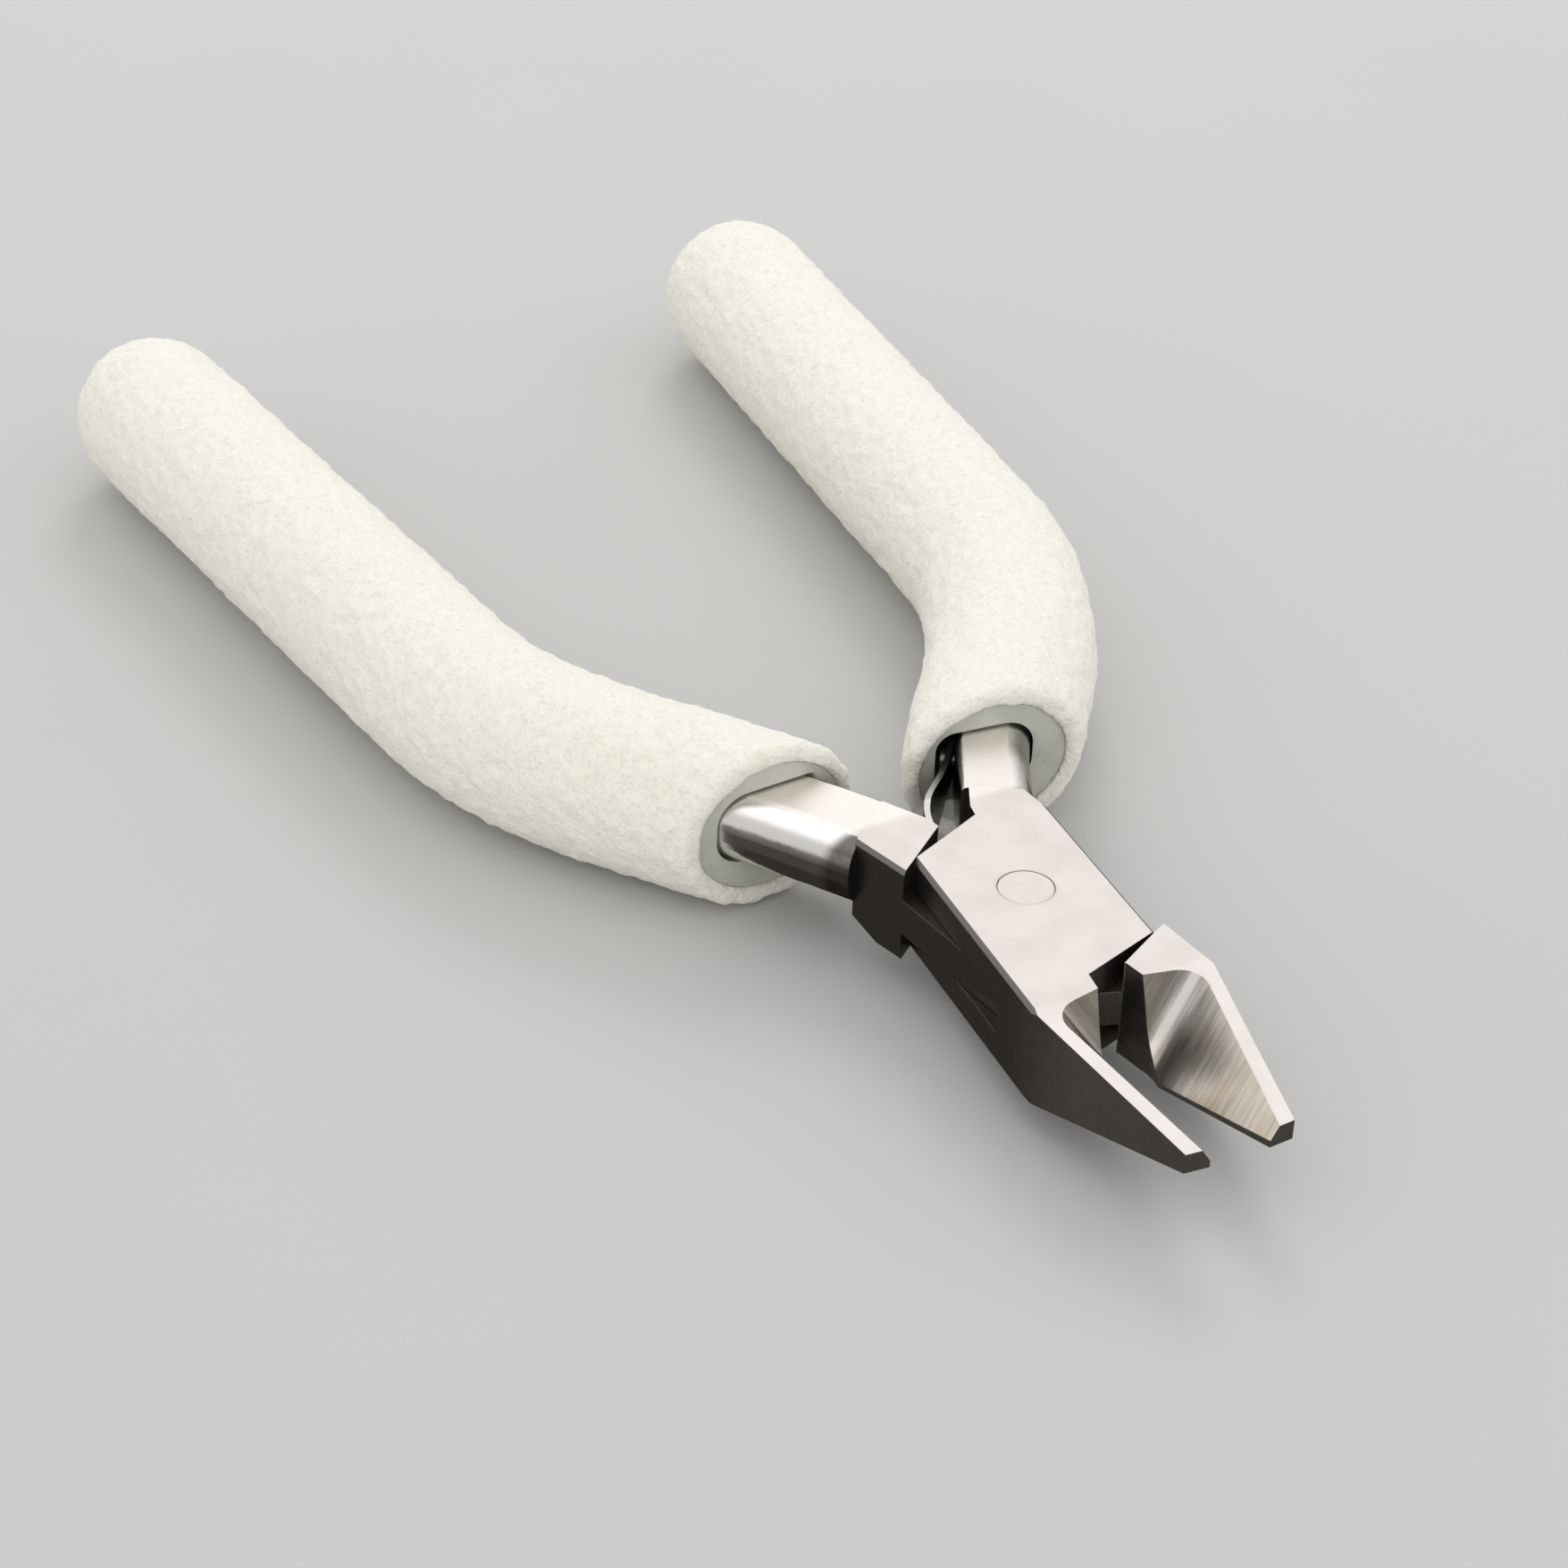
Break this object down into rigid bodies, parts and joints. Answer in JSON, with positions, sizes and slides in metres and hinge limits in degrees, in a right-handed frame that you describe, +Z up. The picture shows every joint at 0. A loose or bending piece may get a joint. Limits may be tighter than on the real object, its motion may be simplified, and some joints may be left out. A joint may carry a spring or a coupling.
{
  "type": "sprue nippers",
  "caption": "Precision side cutters for model sprues: flush-ground box-joint jaws, leaf return spring and thick foam grips, standing open.",
  "frame": {"origin": "on the pivot axis, at the underside of the joint", "axes": "+Y runs forwards to the cutting tips along the line that halves the angle between the levers, +Z runs up along the pivot out of the joint's top face, and +X points to lever A's jaw"},
  "size_m": [0.0696, 0.1316, 0.0134],
  "materials": {
    "ground_steel": "satin, ground on every face, with coarse grinding lines in the jaw hollows",
    "pin_steel": "satin, ground flush with the joint's faces",
    "spring_steel": "smooth rolled sheet with bright cut edges",
    "rivet_steel": "satin",
    "sleeve_plastic": "smooth pale grey-green moulded plastic",
    "grip_foam": "cream closed-cell foam with a fine pebbled skin"
  },
  "bodies": {
    "lever_a_body": {"lever_a": "ground_steel", "pivot_pin": "pin_steel", "spring_rivet": "rivet_steel", "sleeve_a": "sleeve_plastic", "foam_grip_a": "grip_foam"},
    "lever_b_body": {"lever_b": "ground_steel", "sleeve_b": "sleeve_plastic", "foam_grip_b": "grip_foam"},
    "leaf_body": {"leaf_spring": "spring_steel"}
  },
  "joints": [
    {"name": "main_pivot", "type": "hinge", "parent": "lever_a_body", "child": "lever_b_body", "pos_m": [0, 0, 0.00385], "axis": [0, 0, 1], "range_deg": [-9.6, 0], "stiffness_Nm_per_rad": 0.6, "springref_deg": 5.73},
    {"name": "leaf_rock", "type": "hinge", "parent": "lever_a_body", "child": "leaf_body", "pos_m": [-0.00673, -0.02181, 0.00385], "axis": [0, 0, 1], "range_deg": [0, 7.6]}
  ],
  "couplings": [
    {"joint": "leaf_rock", "follows": "main_pivot", "ratio": -0.79}
  ]
}
